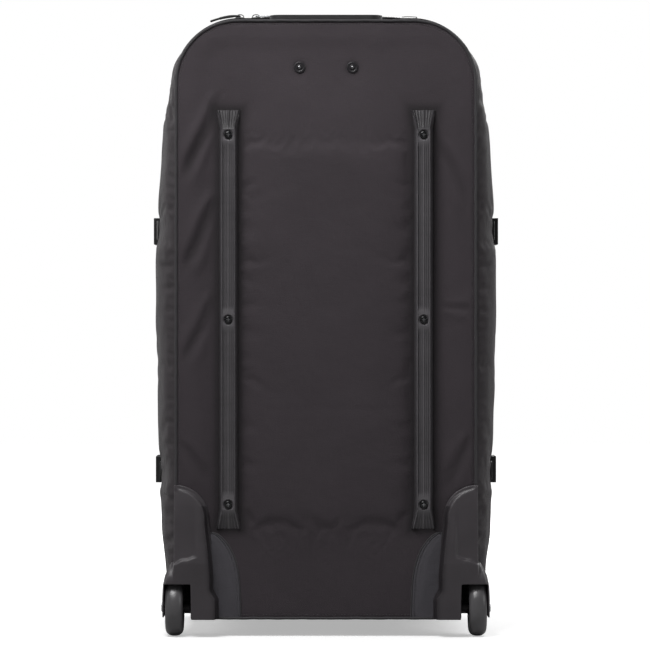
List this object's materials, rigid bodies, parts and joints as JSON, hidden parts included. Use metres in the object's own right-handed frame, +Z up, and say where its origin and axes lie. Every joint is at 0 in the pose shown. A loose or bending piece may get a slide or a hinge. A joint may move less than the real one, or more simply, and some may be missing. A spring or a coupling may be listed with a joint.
{
  "type": "wheeled gear bag",
  "caption": "Upright wheeled gear bag with skid rails, moulded wheel corners, telescoping pull handle and a clamshell body opened by a zip around the gusset.",
  "frame": {"origin": "on the ground, under the middle of the bounding box", "axes": "+X to the right when looking at the skid side, +Y from the skid side toward the front pocket, +Z up"},
  "size_m": [0.4702, 0.39, 0.8415],
  "materials": {
    "fabric_main": "coarse woven polyester, padded, matt",
    "fabric_patch": "dense reinforced weave, slightly blue grey",
    "webbing": "ribbed nylon webbing and bound piping",
    "zip_tape": "knitted tape with a moulded coil",
    "housing_plastic": "fine-textured moulded plastic",
    "rail_plastic": "fine-textured moulded plastic",
    "buckle_plastic": "satin moulded acetal",
    "sheet_plastic": "pressed sheet",
    "grip_rubber": "soft-touch moulding",
    "button_plastic": "satin moulding",
    "tube_metal": "anodised",
    "steel": "zinc plated",
    "black_screws": "black oxide",
    "slider_metal": "black enamel",
    "pull_cord": "moulded pull on a cord",
    "pull_metal": "plated wire loop",
    "tyre": "cast polyurethane, glossy",
    "hub": "moulded plastic"
  },
  "bodies": {
    "rear_shell": {"rear_gusset": "fabric_main", "back_panel": "fabric_main", "back_piping": "webbing", "frame_board": "sheet_plastic", "base_board": "sheet_plastic", "hinge_fabric": "webbing", "corner_patch_left": "fabric_patch", "corner_patch_right": "fabric_patch", "wheel_housing_left": "housing_plastic", "wheel_housing_right": "housing_plastic", "axle_left": "steel", "axle_right": "steel", "axle_nuts": "steel", "skid_rail_left": "rail_plastic", "skid_rail_right": "rail_plastic", "rail_screws": "black_screws", "rail_nuts": "steel", "handle_rivets": "black_screws", "handle_brace": "housing_plastic", "handle_outer_tubes": "tube_metal", "handle_bezel": "housing_plastic", "handle_foot": "housing_plastic", "zip_rear": "zip_tape", "top_grab_handle": "webbing", "loop_tab": "webbing", "rear_straps": "webbing", "buckle_sockets": "buckle_plastic"},
    "front_shell": {"front_gusset": "fabric_main", "front_panel": "fabric_main", "front_piping": "webbing", "front_feet": "housing_plastic", "foot_screws": "steel", "front_pocket": "fabric_main", "pocket_zip": "zip_tape", "zip_front": "zip_tape", "front_straps": "webbing"},
    "handle_middle": {"handle_middle_tubes": "tube_metal"},
    "handle_inner": {"handle_inner_tubes": "tube_metal", "handle_grip": "grip_rubber"},
    "button": {"grip_button": "button_plastic", "push_rods": "steel"},
    "pin_left": {"lock_pin_left": "steel"},
    "pin_right": {"lock_pin_right": "steel"},
    "wheel_left": {"tyre_left": "tyre", "hub_left": "hub", "bearings_left": "steel"},
    "wheel_right": {"tyre_right": "tyre", "hub_right": "hub", "bearings_right": "steel"},
    "slider_a": {"zip_slider_a": "slider_metal"},
    "pull_a": {"zip_pull_a": "pull_cord"},
    "slider_b": {"zip_slider_b": "slider_metal"},
    "pull_b": {"zip_pull_b": "pull_metal"},
    "plug_upper_left": {"buckle_plug_upper_left": "buckle_plastic"},
    "plug_upper_right": {"buckle_plug_upper_right": "buckle_plastic"},
    "plug_lower_left": {"buckle_plug_lower_left": "buckle_plastic"},
    "plug_lower_right": {"buckle_plug_lower_right": "buckle_plastic"},
    "slider_pocket": {"pocket_slider": "slider_metal"},
    "pull_pocket": {"pocket_pull": "pull_cord"}
  },
  "joints": [
    {"name": "handle_stage_1", "type": "slide", "parent": "rear_shell", "child": "handle_middle", "axis": [0, 0, 1], "range_m": [0, 0.15]},
    {"name": "handle_stage_2", "type": "slide", "parent": "handle_middle", "child": "handle_inner", "axis": [0, 0, 1], "range_m": [0, 0.15]},
    {"name": "grip_button_press", "type": "slide", "parent": "handle_inner", "child": "button", "axis": [0, 0, -1], "range_m": [0, 0.005], "stiffness_N_per_m": 400, "springref_m": -0.002},
    {"name": "lock_pin_left_slide", "type": "slide", "parent": "handle_inner", "child": "pin_left", "axis": [1, 0, 0], "range_m": [0, 0.0025]},
    {"name": "lock_pin_right_slide", "type": "slide", "parent": "handle_inner", "child": "pin_right", "axis": [-1, 0, 0], "range_m": [0, 0.0025]},
    {"name": "wheel_left_spin", "type": "hinge", "parent": "rear_shell", "child": "wheel_left", "pos_m": [-0.202, -0.157, 0.038], "axis": [1, 0, 0], "continuous": true},
    {"name": "wheel_right_spin", "type": "hinge", "parent": "rear_shell", "child": "wheel_right", "pos_m": [0.202, -0.157, 0.038], "axis": [1, 0, 0], "continuous": true},
    {"name": "front_open", "type": "hinge", "parent": "rear_shell", "child": "front_shell", "pos_m": [0, -0.027, 0.024], "axis": [-1, 0, 0], "range_deg": [0, 165]},
    {"name": "plug_upper_left_release", "type": "slide", "parent": "front_shell", "child": "plug_upper_left", "axis": [0, 1, 0], "range_m": [0, 0.022]},
    {"name": "plug_upper_right_release", "type": "slide", "parent": "front_shell", "child": "plug_upper_right", "axis": [0, 1, 0], "range_m": [0, 0.022]},
    {"name": "plug_lower_left_release", "type": "slide", "parent": "front_shell", "child": "plug_lower_left", "axis": [0, 1, 0], "range_m": [0, 0.022]},
    {"name": "plug_lower_right_release", "type": "slide", "parent": "front_shell", "child": "plug_lower_right", "axis": [0, 1, 0], "range_m": [0, 0.022]},
    {"name": "zip_slider_a_run", "type": "hinge", "parent": "rear_shell", "child": "slider_a", "pos_m": [-0.118, -0.027, 0.745], "axis": [0, -1, 0], "range_deg": [0, 80]},
    {"name": "zip_pull_a_lift", "type": "hinge", "parent": "slider_a", "child": "pull_a", "pos_m": [-0.118, -0.027, 0.83905], "axis": [0, 1, 0], "range_deg": [0, 100]},
    {"name": "zip_slider_b_run", "type": "slide", "parent": "rear_shell", "child": "slider_b", "axis": [1, 0, 0], "range_m": [0, 0.212]},
    {"name": "zip_pull_b_lift", "type": "hinge", "parent": "slider_b", "child": "pull_b", "pos_m": [-0.096, -0.027, 0.83905], "axis": [0, -1, 0], "range_deg": [0, 100]},
    {"name": "pocket_slider_run", "type": "slide", "parent": "front_shell", "child": "slider_pocket", "axis": [1, 0, 0], "range_m": [0, 0.28]},
    {"name": "pocket_pull_lift", "type": "hinge", "parent": "slider_pocket", "child": "pull_pocket", "pos_m": [-0.14, 0.18885, 0.651], "axis": [0, 0, 1], "range_deg": [0, 100]}
  ],
  "couplings": [
    {"joint": "lock_pin_left_slide", "follows": "grip_button_press", "ratio": 0.5},
    {"joint": "lock_pin_right_slide", "follows": "grip_button_press", "ratio": 0.5}
  ]
}
